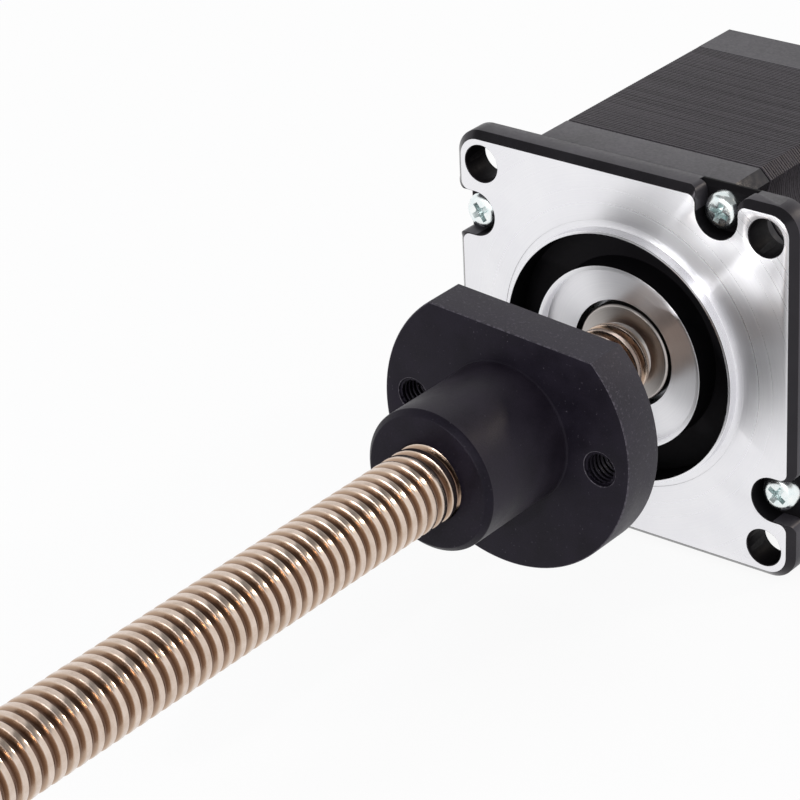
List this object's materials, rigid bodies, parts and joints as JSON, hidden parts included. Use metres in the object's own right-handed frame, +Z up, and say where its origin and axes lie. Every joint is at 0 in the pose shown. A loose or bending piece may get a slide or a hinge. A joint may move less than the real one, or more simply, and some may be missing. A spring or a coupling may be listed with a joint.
{
  "type": "linear stepper motor",
  "caption": "Square-framed stepper motor whose threaded shaft turns to drive a flanged plastic nut along it.",
  "frame": {"origin": "on the screw axis, in the plane of the mounting face", "axes": "+Y along the screw axis into the motor, the threaded end of the screw at -Y, +Z up, +X to the right seen from the screw end"},
  "size_m": [0.0564, 0.2034, 0.0564],
  "materials": {
    "front_housing_aluminium": "die cast, machined bright on the mounting face, black coating on the edges and the recess",
    "rear_housing_aluminium": "satin black coating on die-cast aluminium",
    "stator_steel": "black oxide on laminated electrical steel",
    "insulator_plastic": "natural moulded plastic",
    "winding_copper": "enamelled copper wire",
    "board_laminate": "green glass-fibre laminate",
    "grommet_rubber": "matte black rubber",
    "zinc_steel": "bright zinc plate",
    "spring_steel": "rolled spring steel",
    "bearing_steel": "ground bearing steel",
    "screw_steel": "rolled stainless thread with a warm tone",
    "magnet_black": "sintered magnet",
    "nut_plastic": "turned black engineering plastic"
  },
  "bodies": {
    "motor": {"front_housing": "front_housing_aluminium", "rear_housing": "rear_housing_aluminium", "stator_stack": "stator_steel", "front_insulator": "insulator_plastic", "rear_insulator": "insulator_plastic", "stator_coil_1": "winding_copper", "stator_coil_2": "winding_copper", "stator_coil_3": "winding_copper", "stator_coil_4": "winding_copper", "stator_coil_5": "winding_copper", "stator_coil_6": "winding_copper", "stator_coil_7": "winding_copper", "stator_coil_8": "winding_copper", "terminal_board": "board_laminate", "lead_grommet": "grommet_rubber", "assembly_screws": "zinc_steel", "wave_washer": "spring_steel", "front_bearing_outer_ring": "bearing_steel", "front_bearing_shields": "spring_steel", "rear_bearing_outer_ring": "bearing_steel", "rear_bearing_shields": "spring_steel"},
    "screw": {"lead_screw": "screw_steel", "front_bearing_inner_ring": "bearing_steel", "front_bearing_balls": "bearing_steel", "rear_bearing_inner_ring": "bearing_steel", "rear_bearing_balls": "bearing_steel", "rotor_cup_front": "stator_steel", "rotor_cup_rear": "stator_steel", "rotor_magnet": "magnet_black", "rotor_spacer_front": "bearing_steel", "rotor_spacer_rear": "bearing_steel"},
    "nut": {"drive_nut": "nut_plastic"}
  },
  "joints": [
    {"name": "screw_spin", "type": "hinge", "parent": "motor", "child": "screw", "pos_m": [0, 0, 0], "axis": [0, 1, 0], "range_deg": [-3060, 17680]},
    {"name": "nut_slide", "type": "slide", "parent": "motor", "child": "nut", "axis": [0, -1, 0], "range_m": [-0.018, 0.104]}
  ],
  "couplings": [
    {"joint": "nut_slide", "follows": "screw_spin", "m_per_rad": 0.00033688}
  ]
}
